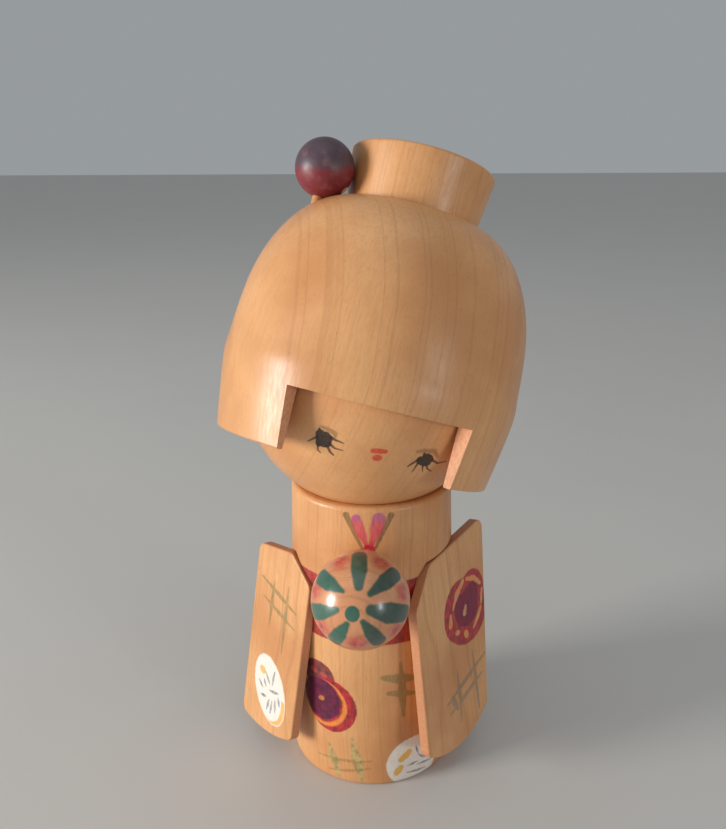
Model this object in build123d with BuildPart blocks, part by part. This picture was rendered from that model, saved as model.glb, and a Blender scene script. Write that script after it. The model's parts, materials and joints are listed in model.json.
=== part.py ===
"""Kokeshi doll: a turned wooden body with flat sleeves and a ball head that poses on a sprung neck.

Millimetres. The origin is the centre of the base, +Z is up and the doll faces -Y, so its left is +X.
"""
from build123d import *
from math import atan2, cos, degrees, radians, sin, sqrt, tan
import os

os.makedirs("parts", exist_ok=True)

# Clearances
GLUE_GAP = 0.05  # between pieces that are glued together
RUNNING_GAP = 0.06  # between a pin and the hole that it turns in
SEAT_GAP = 0.10  # between the head ball and its seat, and between a washer and the wood
BEAD_GAP = 0.15  # between the hair bead and the bun

# Body: a slightly tapered barrel with a well in its top
BODY_HEIGHT = 93.5
BASE_RADIUS = 26.0
WAIST_RADIUS = 25.3
NECK_RADIUS = 23.9
BASE_ROUND = 1.6
NECK_ROUND = 1.3
NECK_LIP = 2.6  # from the outside of the neck in to the circle where the head ball rests
SEAT_WIDTH = 4.8  # from that circle in to the well
WELL_DEPTH = 31.5
BODY_WEB = 14.0  # wood between the well and the bore from the base
ANCHOR_BORE = 7.0

# Head: a face ball glued into a hair cap. Heights count from the ball's centre.
FACE_RADIUS = 37.0
HEAD_LEAN = 22.0  # away from upright, as the doll is posed
LEAN_AZIMUTH = 53.0  # from the doll's left towards its back
HEAD_YAW = 10.0
RIM_SHARE = 0.622  # of the face's radius, from the head's centre down to the cap's rim
RIM_GAP = 1.8  # at least this between the rim's inner edge and the neck, on the leaning side
CAP_RIM = -min(
    RIM_SHARE * FACE_RADIUS,
    (FACE_RADIUS * cos(radians(HEAD_LEAN)) - NECK_RADIUS - RIM_GAP) / sin(radians(HEAD_LEAN)),
)
CAP_RIM_WALL = 2.5
CAP_RIM_ROUND = 0.5
CAP_WIDEST = 4.0
CAP_WIDEST_WALL = 5.1
CAP_SHOULDER = 22.5
CAP_SHOULDER_WALL = 2.9
CAP_CROWN_WALL = 7.0
CAP_CROWN_INSET = 9.55
CAP_TOP_WALL = 11.5
FRINGE = -0.184 * FACE_RADIUS
WINDOW_HALF_ANGLE = 35.0

# Bun: a flared cylinder sunk a little into the top of the cap
BUN_SINK = 2.4
BUN_LENGTH = 16.5
BUN_TOP_RADIUS = 21.0
BUN_FOOT_RADIUS = 18.8
BUN_ROUND = 0.8
TENON_RADIUS = 8.0
TENON_LENGTH = 7.0

# Hair bead on its peg
BEAD_RADIUS = 8.2
BEAD_RISE = 4.1  # its centre above the top of the cap
BEAD_AZIMUTH = 194.0
PEG_RADIUS = 1.5
PEG_DEPTH = 7.0  # below the bead
PEG_END = 1.2  # from the top of the peg up to the top of the bead

# Hand ball held in front of the chest
HAND_BALL_RADIUS = 13.3
HAND_BALL_DROP = 20.5  # its centre below the top of the body
HAND_BALL_SINK = 0.6
DOWEL_RADIUS = 2.0
DOWEL_REACH = 5.0
PIN_CHAMFER = 0.3

# Sleeves: flat boards cut by hand, so the two differ, and glued to flats on the shoulders
SLEEVE_THICKNESS = 3.0
SLEEVE_OUT = 28.0  # from the doll's axis to a board's outer face, at right angles to the board
SLEEVE_SPLAY = 8.0
SLEEVE_CORNER = 3.0
SLEEVE_EDGE = 0.6
SLEEVE_DROP = 43.5  # the level where SLEEVE_OUT counts, below the top of the body
FLAT_MARGIN = 0.5  # of each flat beyond its board
# Each board's side, its turn towards the front, its corners (to the front, up) from the top at the back round
# to the foot at the back, and how far its rounded foot hangs below the line between the last two
SLEEVES = {
    "sleeve_left": dict(
        side=1,
        turn=30.0,
        corners=[(-26.0, 22.5), (6.5, 20.0), (16.0, 9.0), (18.0, -37.0), (-18.5, -40.0)],
        belly=5.5,
    ),
    "sleeve_right": dict(
        side=-1,
        turn=44.0,
        corners=[(-24.5, 16.0), (-7.0, 19.0), (3.0, 12.0), (0.5, -41.0), (-27.5, -45.0)],
        belly=2.5,
    ),
}

# Neck anchors: a cotter pin with an eye at each end of a tension spring
EYE_RADIUS = 2.0
EYE_WIRE = 0.5
EYE_CLEAR = 0.4  # between an eye and the wood below it
SHANK_RADIUS = 0.9
LEG_LENGTH = 9.0
LEG_RADIUS = 0.6
WASHER_RADIUS = 5.0
WASHER_THICKNESS = 0.8
HEAD_EYE_DEPTH = 4.0  # the upper eye's centre, in from the face ball's surface
HEAD_WEB = 16.0
HEAD_MOUTH_RADIUS = 6.5
SPRING_WIRE = 0.3
HOOK_LEG_RADIUS = 0.34  # where the wire turns in from the coil to its hook
SPRING_RADIUS = 1.9
SPRING_PITCH = 1.5
HOOK_SLACK = 0.15  # between the spring's hook and the eye
BASE_PLUG_LENGTH = 8.0
BASE_PLUG_INSET = 0.3
BASE_PLUG_CHAMFER = 0.6

# Places that follow from the sizes above
SEAT_RADIUS = NECK_RADIUS - NECK_LIP
WELL_RADIUS = SEAT_RADIUS - SEAT_WIDTH
WELL_FLOOR = BODY_HEIGHT - WELL_DEPTH
HEAD_Z = BODY_HEIGHT + sqrt(FACE_RADIUS**2 - SEAT_RADIUS**2)
HEAD = Plane(
    Location((0, 0, HEAD_Z))
    * Rot(Z=LEAN_AZIMUTH)
    * Rot(Y=HEAD_LEAN)
    * Rot(Z=HEAD_YAW - LEAN_AZIMUTH)
)
HEAD_SECTION = Plane(origin=HEAD.origin, x_dir=HEAD.x_dir, z_dir=-HEAD.y_dir)
HEAD_AXIS = Axis(HEAD.origin, HEAD.z_dir)
CAP_BORE = FACE_RADIUS + GLUE_GAP
CAP_TOP = CAP_BORE + CAP_TOP_WALL
BUN_FOOT = CAP_TOP - BUN_SINK
BUN_TOP = BUN_FOOT + BUN_LENGTH
BUN_FLARE = atan2(BUN_TOP_RADIUS - BUN_FOOT_RADIUS, BUN_LENGTH)
BEAD_HEIGHT = CAP_TOP + BEAD_RISE
BUN_AT_BEAD = BUN_FOOT_RADIUS + (BEAD_HEIGHT - BUN_FOOT) * tan(BUN_FLARE)
BEAD_OUT = BUN_AT_BEAD + (BEAD_RADIUS + BEAD_GAP) / cos(BUN_FLARE)
BEAD_X = BEAD_OUT * cos(radians(BEAD_AZIMUTH))
BEAD_Y = BEAD_OUT * sin(radians(BEAD_AZIMUTH))
PEG_FOOT = BEAD_HEIGHT - BEAD_RADIUS - PEG_DEPTH
PEG_LENGTH = PEG_DEPTH + BEAD_RADIUS * 2 - PEG_END
HAND_BALL_HEIGHT = BODY_HEIGHT - HAND_BALL_DROP
SLEEVE_LEVEL = BODY_HEIGHT - SLEEVE_DROP


def head_plane(height):
    """The plane across the head's own axis, at a height above the centre of the face ball."""
    return HEAD.offset(height)


def head_point(x, y, height):
    """A point given in the head's own directions, counted from the centre of the face ball."""
    return HEAD.from_local_coords(Vector(x, y, height))


def body_radius(height):
    """The barrel's radius at a height: one parabola through base, middle and neck."""
    share = height / BODY_HEIGHT
    bulge = WAIST_RADIUS - (BASE_RADIUS + NECK_RADIUS) / 2
    return BASE_RADIUS + (NECK_RADIUS - BASE_RADIUS) * share + 4 * bulge * share * (1 - share)


def sleeve_plane(side, turn):
    """The inner face of a sleeve board, x to the front and y up the board, and its outward sign."""
    outward = Vector(
        side * cos(radians(turn)) * cos(radians(SLEEVE_SPLAY)),
        -sin(radians(turn)) * cos(radians(SLEEVE_SPLAY)),
        sin(radians(SLEEVE_SPLAY)),
    )
    ahead = Vector(-side * sin(radians(turn)), -cos(radians(turn)), 0)
    origin = Vector(0, 0, SLEEVE_LEVEL) + outward * (SLEEVE_OUT - SLEEVE_THICKNESS)
    return Plane(origin=origin, x_dir=ahead, z_dir=outward * -side), -side


def sleeve_outline(corners, belly):
    """A board's outline, drawn in the sketch that is open."""
    front_foot, back_foot = (Vector(*corner) for corner in corners[-2:])
    middle = (front_foot + back_foot) / 2
    with BuildLine() as outline:
        Polyline(corners[-1], *corners[:-1])
        ThreePointArc(front_foot, middle - Vector(0, belly), back_foot)
    make_face(outline.edges())


# Where the neck's pins and spring lie. Each pin has its own plane: its eye at the origin, its shank
# towards -Z and X along the axis on which the head leans, which the eye's ring turns about.
LEAN_ACROSS = Vector(-sin(radians(LEAN_AZIMUTH)), cos(radians(LEAN_AZIMUTH)), 0)
EYE_LIFT = EYE_RADIUS + EYE_WIRE + EYE_CLEAR
HEAD_EYE = HEAD_EYE_DEPTH - FACE_RADIUS
BODY_PIN = Plane(origin=(0, 0, WELL_FLOOR + EYE_LIFT), x_dir=LEAN_ACROSS, z_dir=(0, 0, 1))
HEAD_PIN = Plane(origin=head_point(0, 0, HEAD_EYE), x_dir=LEAN_ACROSS, z_dir=-HEAD.z_dir)
HEAD_RECESS = HEAD_EYE + EYE_LIFT

# Body
with BuildPart() as body:
    with BuildSketch(Plane.XZ):
        with BuildLine():
            Polyline((ANCHOR_BORE, 0), (BASE_RADIUS, 0))
            Spline(
                (BASE_RADIUS, 0),
                (body_radius(BODY_HEIGHT / 3), BODY_HEIGHT / 3),
                (body_radius(BODY_HEIGHT * 2 / 3), BODY_HEIGHT * 2 / 3),
                (NECK_RADIUS, BODY_HEIGHT),
            )
            Polyline(
                (NECK_RADIUS, BODY_HEIGHT),
                (WELL_RADIUS, BODY_HEIGHT),
                (WELL_RADIUS, WELL_FLOOR),
                (SHANK_RADIUS + RUNNING_GAP, WELL_FLOOR),
                (SHANK_RADIUS + RUNNING_GAP, WELL_FLOOR - BODY_WEB),
                (ANCHOR_BORE, WELL_FLOOR - BODY_WEB),
                (ANCHOR_BORE, 0),
            )
        make_face()
    revolve(axis=Axis.Z)
    outer_rims = body.edges().filter_by(GeomType.CIRCLE).filter_by(lambda e: e.radius > SEAT_RADIUS)
    fillet(outer_rims.sort_by(Axis.Z)[0], BASE_ROUND)
    outer_rims = body.edges().filter_by(GeomType.CIRCLE).filter_by(lambda e: e.radius > SEAT_RADIUS)
    fillet(outer_rims.sort_by(Axis.Z)[-1], NECK_ROUND)
    # Socket for the head ball
    with Locations((0, 0, HEAD_Z)):
        Sphere(FACE_RADIUS + SEAT_GAP, mode=Mode.SUBTRACT)
    # Dimple and dowel hole for the hand ball
    chest = body_radius(HAND_BALL_HEIGHT)
    hand_ball_y = -(chest + HAND_BALL_RADIUS - HAND_BALL_SINK)
    with Locations((0, hand_ball_y, HAND_BALL_HEIGHT)):
        Sphere(HAND_BALL_RADIUS + GLUE_GAP, mode=Mode.SUBTRACT)
    dowel_start = hand_ball_y + HAND_BALL_RADIUS - DOWEL_REACH
    dowel_end = -chest + DOWEL_REACH
    with BuildSketch(Plane.XZ.offset(-dowel_end - GLUE_GAP)):
        with Locations((0, HAND_BALL_HEIGHT)):
            Circle(DOWEL_RADIUS + GLUE_GAP)
    extrude(amount=DOWEL_REACH * 2, mode=Mode.SUBTRACT)
    # Flats for the sleeves
    for board in SLEEVES.values():
        plane, outward = sleeve_plane(board["side"], board["turn"])
        with BuildSketch(plane):
            sleeve_outline(board["corners"], board["belly"])
            offset(amount=FLAT_MARGIN)
        extrude(amount=outward * BASE_RADIUS, mode=Mode.SUBTRACT)
body.part.label = "body"
export_step(body.part, "parts/body.step")

# Plug that closes the bore in the base
with BuildPart() as base_plug:
    with BuildSketch(Plane.XY.offset(BASE_PLUG_INSET)):
        Circle(ANCHOR_BORE - GLUE_GAP)
    extrude(amount=BASE_PLUG_LENGTH)
    chamfer(base_plug.edges().group_by(Axis.Z)[-1], BASE_PLUG_CHAMFER)
base_plug.part.label = "base_plug"
export_step(base_plug.part, "parts/base_plug.step")

# Face ball, with a recess for the spring and a bore for its pin
with BuildPart() as face_ball:
    with Locations(HEAD.location):
        Sphere(FACE_RADIUS)
    with BuildSketch(head_plane(HEAD_RECESS)):
        Circle(HEAD_MOUTH_RADIUS)
    extrude(amount=-FACE_RADIUS, mode=Mode.SUBTRACT)
    with BuildSketch(head_plane(HEAD_RECESS + HEAD_WEB)):
        Circle(ANCHOR_BORE)
    extrude(amount=FACE_RADIUS * 2, mode=Mode.SUBTRACT)
    with BuildSketch(head_plane(HEAD_RECESS)):
        Circle(SHANK_RADIUS + RUNNING_GAP)
    extrude(amount=FACE_RADIUS, mode=Mode.SUBTRACT)
face_ball.part.label = "face_ball"
export_step(face_ball.part, "parts/face_ball.step")

# Hair cap: a turned dome, bored to take the face ball, with a window cut for the face
with BuildPart() as hair_cap:
    with BuildSketch(HEAD_SECTION):
        with BuildLine():
            outside = Spline(
                (0, CAP_TOP),
                (CAP_BORE - CAP_CROWN_INSET, CAP_BORE + CAP_CROWN_WALL),
                (CAP_BORE + CAP_SHOULDER_WALL, CAP_SHOULDER),
                (CAP_BORE + CAP_WIDEST_WALL, CAP_WIDEST),
                (CAP_BORE + CAP_RIM_WALL, CAP_RIM),
                tangents=[(1, 0), (-0.16, -1)],
            )
            Polyline(outside @ 1, (CAP_BORE, CAP_RIM), (CAP_BORE, 0))
            CenterArc((0, 0), CAP_BORE, 0, 90)
            Line((0, CAP_BORE), outside @ 0)
        make_face()
    revolve(axis=HEAD_AXIS)
    rim_edges = hair_cap.edges().filter_by(GeomType.CIRCLE).group_by(HEAD_AXIS)[0]
    fillet(rim_edges, CAP_RIM_ROUND)
    window_reach = CAP_BORE * 2
    window_half_width = window_reach * sin(radians(WINDOW_HALF_ANGLE))
    window_depth = window_reach * cos(radians(WINDOW_HALF_ANGLE))
    with BuildSketch(head_plane(FRINGE)):
        Polygon((0, 0), (window_half_width, -window_depth), (-window_half_width, -window_depth), align=None)
    extrude(amount=CAP_RIM - FRINGE - 1, mode=Mode.SUBTRACT)
    # Hole for the bun's tenon
    with BuildSketch(head_plane(BUN_FOOT - TENON_LENGTH - GLUE_GAP)):
        Circle(TENON_RADIUS + GLUE_GAP)
    extrude(amount=BUN_TOP, mode=Mode.SUBTRACT)
    # Recess that the bun stands in, flared like the bun
    with BuildSketch(head_plane(BUN_FOOT - GLUE_GAP)):
        Circle(BUN_FOOT_RADIUS + GLUE_GAP * 2)
    extrude(amount=BUN_LENGTH, taper=-degrees(BUN_FLARE), mode=Mode.SUBTRACT)
    # Seat and peg hole for the hair bead
    with Locations(Location(head_point(BEAD_X, BEAD_Y, BEAD_HEIGHT))):
        Sphere(BEAD_RADIUS + GLUE_GAP, mode=Mode.SUBTRACT)
    with BuildSketch(Plane(origin=head_point(BEAD_X, BEAD_Y, PEG_FOOT - GLUE_GAP), z_dir=HEAD.z_dir)):
        Circle(PEG_RADIUS + GLUE_GAP)
    extrude(amount=PEG_LENGTH, mode=Mode.SUBTRACT)
hair_cap.part.label = "hair_cap"
export_step(hair_cap.part, "parts/hair_cap.step")

# Bun: a flared cylinder with a tenon
with BuildPart() as bun:
    with BuildSketch(HEAD_SECTION):
        Polygon(
            (0, BUN_FOOT - TENON_LENGTH),
            (TENON_RADIUS, BUN_FOOT - TENON_LENGTH),
            (TENON_RADIUS, BUN_FOOT),
            (BUN_FOOT_RADIUS, BUN_FOOT),
            (BUN_TOP_RADIUS, BUN_TOP),
            (0, BUN_TOP),
            align=None,
        )
    revolve(axis=HEAD_AXIS)
    fillet(bun.edges().filter_by(GeomType.CIRCLE).sort_by(HEAD_AXIS)[-1], BUN_ROUND)
bun.part.label = "bun"
export_step(bun.part, "parts/bun.step")

# Hair bead, drilled through, and the peg that holds it
with BuildPart() as hair_bead:
    with Locations(Location(head_point(BEAD_X, BEAD_Y, BEAD_HEIGHT))):
        Sphere(BEAD_RADIUS)
    with BuildSketch(Plane(origin=head_point(BEAD_X, BEAD_Y, BEAD_HEIGHT), z_dir=HEAD.z_dir)):
        Circle(PEG_RADIUS + GLUE_GAP)
    extrude(amount=BEAD_RADIUS, both=True, mode=Mode.SUBTRACT)
hair_bead.part.label = "hair_bead"
export_step(hair_bead.part, "parts/hair_bead.step")

with BuildPart() as bead_peg:
    with BuildSketch(Plane(origin=head_point(BEAD_X, BEAD_Y, PEG_FOOT), z_dir=HEAD.z_dir)):
        Circle(PEG_RADIUS)
    extrude(amount=PEG_LENGTH)
    chamfer(bead_peg.edges().filter_by(GeomType.CIRCLE), PIN_CHAMFER)
bead_peg.part.label = "bead_peg"
export_step(bead_peg.part, "parts/bead_peg.step")

# Hand ball and its dowel
with BuildPart() as hand_ball:
    with Locations((0, hand_ball_y, HAND_BALL_HEIGHT)):
        Sphere(HAND_BALL_RADIUS)
    with BuildSketch(Plane.XZ.offset(-dowel_start + GLUE_GAP)):
        with Locations((0, HAND_BALL_HEIGHT)):
            Circle(DOWEL_RADIUS + GLUE_GAP)
    extrude(amount=-HAND_BALL_RADIUS, mode=Mode.SUBTRACT)
hand_ball.part.label = "hand_ball"
export_step(hand_ball.part, "parts/hand_ball.step")

with BuildPart() as ball_dowel:
    with BuildSketch(Plane.XZ.offset(-dowel_end)):
        with Locations((0, HAND_BALL_HEIGHT)):
            Circle(DOWEL_RADIUS)
    extrude(amount=dowel_end - dowel_start)
    chamfer(ball_dowel.edges().filter_by(GeomType.CIRCLE), PIN_CHAMFER)
ball_dowel.part.label = "ball_dowel"
export_step(ball_dowel.part, "parts/ball_dowel.step")

# Sleeves
for name, board in SLEEVES.items():
    plane, outward = sleeve_plane(board["side"], board["turn"])
    with BuildPart() as sleeve:
        with BuildSketch(plane) as outline:
            sleeve_outline(board["corners"], board["belly"])
            fillet(outline.vertices(), SLEEVE_CORNER)
        extrude(amount=outward * SLEEVE_THICKNESS)
        outer_face = sleeve.faces().sort_by(Axis(plane.origin, plane.z_dir * outward))[-1]
        fillet(outer_face.edges(), SLEEVE_EDGE)
    sleeve.part.label = name
    export_step(sleeve.part, f"parts/{name}.step")

# Cotter pins, each with an eye, a shank through the wood and two legs spread under a washer
for label, plane, web in (("body_cotter", BODY_PIN, BODY_WEB), ("head_cotter", HEAD_PIN, HEAD_WEB)):
    legs_level = -(EYE_LIFT + web + SEAT_GAP * 2 + WASHER_THICKNESS + LEG_RADIUS)
    leg_start = plane.from_local_coords((-LEG_LENGTH / 2, 0, legs_level))
    with BuildPart() as cotter:
        with Locations(plane.location * Rot(Y=90)):
            Torus(EYE_RADIUS, EYE_WIRE)
        with BuildSketch(plane.offset(legs_level)):
            Circle(SHANK_RADIUS)
        extrude(amount=-legs_level - EYE_RADIUS)
        with BuildSketch(Plane(origin=leg_start, x_dir=plane.z_dir, z_dir=plane.x_dir)):
            Circle(LEG_RADIUS)
        extrude(amount=LEG_LENGTH)
    cotter.part.label = label
    export_step(cotter.part, f"parts/{label}.step")

# Washers between the legs and the wood
for label, plane, web in (("body_washer", BODY_PIN, BODY_WEB), ("head_washer", HEAD_PIN, HEAD_WEB)):
    with BuildPart() as washer:
        with BuildSketch(plane.offset(-(EYE_LIFT + web + SEAT_GAP))):
            Circle(WASHER_RADIUS)
            Circle(SHANK_RADIUS + GLUE_GAP, mode=Mode.SUBTRACT)
        extrude(amount=-WASHER_THICKNESS)
    washer.part.label = label
    export_step(washer.part, f"parts/{label}.step")

# Tension spring: a coil with a round hook at each end, in line from eye to eye
spring_run = HEAD_PIN.origin - BODY_PIN.origin
SPRING = Plane(origin=BODY_PIN.origin, x_dir=LEAN_ACROSS, z_dir=spring_run)
hook_step = EYE_RADIUS * 2 - EYE_WIRE - SPRING_WIRE - HOOK_SLACK
coil_start = hook_step + EYE_RADIUS
coil_length = spring_run.length - 2 * coil_start
with BuildPart() as neck_spring:
    with BuildLine() as coil:
        Helix(SPRING_PITCH, coil_length, SPRING_RADIUS, SPRING.offset(coil_start).origin, SPRING.z_dir)
    with BuildSketch(Plane(origin=coil.line @ 0, z_dir=coil.line % 0)):
        Circle(SPRING_WIRE)
    sweep(path=coil.line, is_frenet=True)
    for share, level in ((0, coil_start), (1, coil_start + coil_length)):
        middle = SPRING.offset(level).origin
        with BuildSketch(Plane(origin=middle, z_dir=coil.line @ share - middle)):
            Circle(HOOK_LEG_RADIUS)
        extrude(amount=SPRING_RADIUS)
    for level in (hook_step, spring_run.length - hook_step):
        with Locations(SPRING.offset(level).location * Rot(X=90)):
            Torus(EYE_RADIUS, SPRING_WIRE)
neck_spring.part.label = "neck_spring"
export_step(neck_spring.part, "parts/neck_spring.step")
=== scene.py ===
import json
import math

import bpy
from mathutils import Matrix, Vector


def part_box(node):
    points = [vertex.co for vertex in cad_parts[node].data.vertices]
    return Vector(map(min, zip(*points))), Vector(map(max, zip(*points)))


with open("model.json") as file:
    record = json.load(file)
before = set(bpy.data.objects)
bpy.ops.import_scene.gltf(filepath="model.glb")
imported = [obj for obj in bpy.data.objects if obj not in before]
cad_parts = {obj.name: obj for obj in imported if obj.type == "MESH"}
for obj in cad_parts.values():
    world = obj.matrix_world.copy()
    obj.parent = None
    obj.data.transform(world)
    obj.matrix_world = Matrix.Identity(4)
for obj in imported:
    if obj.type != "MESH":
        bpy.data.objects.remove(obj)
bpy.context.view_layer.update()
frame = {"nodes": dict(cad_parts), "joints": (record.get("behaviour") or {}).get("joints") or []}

# Kokeshi doll in turned and sawn wood. Every CAD node keeps its mesh and gets a procedural finish:
# lacquered wood with grain, and hand-brushed decoration worked out in millimetres on each surface.

MM = 1000.0

# ---------------------------------------------------------------------------------------------
# Colours, as sRGB
# ---------------------------------------------------------------------------------------------


def linear(red, green, blue):
    """An sRGB colour, 0 to 255, as a linear RGBA tuple."""

    def channel(value):
        value /= 255.0
        return value / 12.92 if value <= 0.04045 else ((value + 0.055) / 1.055) ** 2.4

    return channel(red), channel(green), channel(blue), 1.0


# Wood
PALE = linear(224, 168, 114)
MID = linear(202, 140, 88)
DARK = linear(140, 84, 48)
BALL_PALE = linear(226, 168, 122)
BALL_MID = linear(208, 140, 96)
SAWN_PALE = linear(204, 138, 100)
SAWN_DARK = linear(142, 84, 58)
CUT_PALE = linear(220, 160, 122)
CUT_DARK = linear(172, 112, 80)

# Paint
CRIMSON = linear(186, 16, 50)
DEEP_CRIMSON = linear(132, 18, 40)
OBI_RED = linear(172, 24, 34)
ROSE = linear(206, 88, 84)
PINK = linear(214, 66, 96)
PLUM = linear(96, 22, 66)
VIOLET = linear(180, 80, 140)
COLLAR_BROWN = linear(122, 82, 62)
DARK_PLUM = linear(74, 22, 50)
ORANGE = linear(238, 150, 62)
YELLOW = linear(226, 168, 52)
TEAL = linear(8, 94, 80)
# Darker teal for the painted shade on the ball's petals
TEAL_IN_SHADE = linear(8, 46, 44)
OLIVE = linear(120, 100, 50)
GREEN_OLIVE = linear(108, 118, 72)
PALE_GREEN = linear(176, 178, 118)
CHALK = linear(234, 228, 218)
SLATE = linear(98, 112, 124)
INK = linear(38, 32, 32)
BRUSH_BROWN = linear(104, 58, 26)
SHADOW_BROWN = linear(152, 112, 72)
LIP_RED = linear(206, 50, 36)
BEAD_VIOLET = linear(80, 60, 70)
BEAD_RED = linear(122, 34, 44)
BEAD_GRAIN = linear(60, 34, 40)
BEAD_BLOOM = linear(176, 120, 120)
CREAM = linear(226, 206, 170)

# Stage
FLOOR_WARM = linear(212, 209, 204)
FLOOR_COOL = linear(206, 204, 200)
SKY = linear(206, 212, 216)

# ---------------------------------------------------------------------------------------------
# Node graph helper
# ---------------------------------------------------------------------------------------------


class Graph:
    """Builds one material's node tree. Every call returns an output socket."""

    def __init__(self, name):
        self.material = bpy.data.materials.new(name)
        self.material.use_nodes = True
        self.tree = self.material.node_tree
        self.tree.nodes.clear()
        self.output = self.tree.nodes.new("ShaderNodeOutputMaterial")
        self.shader = self.tree.nodes.new("ShaderNodeBsdfPrincipled")
        self.tree.links.new(self.shader.outputs["BSDF"], self.output.inputs["Surface"])
        self.coordinates = self.tree.nodes.new("ShaderNodeTexCoord")
        self.mm = self.vector("SCALE", self.coordinates.outputs["Object"], scale=MM)
        self.normal = self.coordinates.outputs["Normal"]

    def put(self, socket, value):
        """Links a socket to an input, or sets the input's own value."""
        if isinstance(value, bpy.types.NodeSocket):
            self.tree.links.new(value, socket)
        elif value is not None:
            socket.default_value = value

    def math(self, operation, a, b=None, c=None):
        node = self.tree.nodes.new("ShaderNodeMath")
        node.operation = operation
        for socket, value in zip(node.inputs, (a, b, c)):
            self.put(socket, value)
        return node.outputs["Value"]

    def clamp(self, value):
        node = self.tree.nodes.new("ShaderNodeClamp")
        self.put(node.inputs["Value"], value)
        return node.outputs["Result"]

    def vector(self, operation, a, b=None, c=None, scale=None):
        node = self.tree.nodes.new("ShaderNodeVectorMath")
        node.operation = operation
        for socket, value in zip(node.inputs[:3], (a, b, c)):
            self.put(socket, value)
        if scale is not None:
            self.put(node.inputs["Scale"], scale)
        single = operation in ("DOT_PRODUCT", "LENGTH", "DISTANCE")
        return node.outputs["Value" if single else "Vector"]

    def dot(self, a, b):
        return self.vector("DOT_PRODUCT", a, tuple(b))

    def join(self, x=0.0, y=0.0, z=0.0):
        node = self.tree.nodes.new("ShaderNodeCombineXYZ")
        for socket, value in zip(node.inputs, (x, y, z)):
            self.put(socket, value)
        return node.outputs["Vector"]

    def split(self, value):
        node = self.tree.nodes.new("ShaderNodeSeparateXYZ")
        self.put(node.inputs[0], value)
        return node.outputs["X"], node.outputs["Y"], node.outputs["Z"]

    def noise(self, point, scale=1.0, detail=2.0, roughness=0.5, colour=False):
        node = self.tree.nodes.new("ShaderNodeTexNoise")
        self.put(node.inputs["Vector"], point)
        node.inputs["Scale"].default_value = scale
        node.inputs["Detail"].default_value = detail
        node.inputs["Roughness"].default_value = roughness
        return node.outputs["Color" if colour else "Fac"]

    def line_noise(self, value, scale, detail=2.0):
        """Noise along one number."""
        node = self.tree.nodes.new("ShaderNodeTexNoise")
        node.noise_dimensions = "1D"
        self.put(node.inputs["W"], value)
        node.inputs["Scale"].default_value = scale
        node.inputs["Detail"].default_value = detail
        return node.outputs["Fac"]

    def ramp(self, value, low, high, to_low=0.0, to_high=1.0):
        """Smooth step from low to high."""
        node = self.tree.nodes.new("ShaderNodeMapRange")
        node.interpolation_type = "SMOOTHSTEP"
        self.put(node.inputs["Value"], value)
        for name, number in (
            ("From Min", low),
            ("From Max", high),
            ("To Min", to_low),
            ("To Max", to_high),
        ):
            self.put(node.inputs[name], number)
        return node.outputs["Result"]

    def mix(self, factor, a, b):
        """Mix of two colours."""
        node = self.tree.nodes.new("ShaderNodeMix")
        node.data_type = "RGBA"
        self.put(node.inputs[0], factor)
        self.put(node.inputs[6], a)
        self.put(node.inputs[7], b)
        return node.outputs[2]

    def blend(self, factor, a, b):
        """Mix of two numbers."""
        node = self.tree.nodes.new("ShaderNodeMix")
        node.data_type = "FLOAT"
        for socket, value in zip(node.inputs[:1] + node.inputs[2:4], (factor, a, b)):
            self.put(socket, value)
        return node.outputs[0]

    def smallest(self, values):
        found = values[0]
        for value in values[1:]:
            found = self.math("MINIMUM", found, value)
        return found

    def bump(self, height, strength, distance_mm):
        node = self.tree.nodes.new("ShaderNodeBump")
        node.inputs["Strength"].default_value = strength
        node.inputs["Distance"].default_value = distance_mm / MM
        self.put(node.inputs["Height"], height)
        return node.outputs["Normal"]

    def finish(self, colour, roughness, normal, **constants):
        """Links the shader. The constants go on its own sockets."""
        self.put(self.shader.inputs["Base Color"], colour)
        self.put(self.shader.inputs["Roughness"], roughness)
        self.put(self.shader.inputs["Normal"], normal)
        if "Coat Weight" in constants:
            self.put(self.shader.inputs["Coat Normal"], normal)
        for name, value in constants.items():
            self.shader.inputs[name].default_value = value
        return self.material


# ---------------------------------------------------------------------------------------------
# Shapes of paint, as distances in mm: negative inside
# ---------------------------------------------------------------------------------------------


def capsule(graph, point, start, end, start_radius, end_radius):
    """Distance to a brush stroke from start to end that changes width along its length."""
    start, end = (Vector((*p, 0.0)) if len(p) == 2 else Vector(p) for p in (start, end))
    run = end - start
    away = graph.vector("SUBTRACT", point, tuple(start))
    along = graph.dot(away, run / max(run.length_squared, 1e-9))
    along = graph.clamp(along)
    offset = graph.vector("SUBTRACT", away, graph.vector("SCALE", tuple(run), scale=along))
    radius = graph.math("MULTIPLY_ADD", along, end_radius - start_radius, start_radius)
    return graph.math("SUBTRACT", graph.vector("LENGTH", offset), radius)


def line(graph, point, points, radii):
    """Distance to a chain of strokes through the points. radii has one number per point."""
    found = [
        capsule(graph, point, a, b, ra, rb)
        for a, b, ra, rb in zip(points, points[1:], radii, radii[1:])
    ]
    return graph.smallest(found)


def leaf(graph, point, start, end, radius, tip=0.25):
    """Distance to a stroke that is widest in its middle."""
    middle = tuple((a + b) / 2 for a, b in zip(start, end))
    return line(graph, point, (start, middle, end), (radius * tip, radius, radius * tip))


def disc(graph, point, centre, across, up, turn=0.0):
    """Distance to an ellipse with half sizes across and up, turned by turn degrees."""
    cos, sin = math.cos(math.radians(turn)), math.sin(math.radians(turn))
    away = graph.vector("SUBTRACT", point, (*centre, 0.0))
    x = graph.dot(away, (cos / across, sin / across, 0))
    y = graph.dot(away, (-sin / up, cos / up, 0))
    length = graph.vector("LENGTH", graph.join(x, y))
    return graph.math("MULTIPLY", graph.math("SUBTRACT", length, 1.0), min(across, up))


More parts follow.
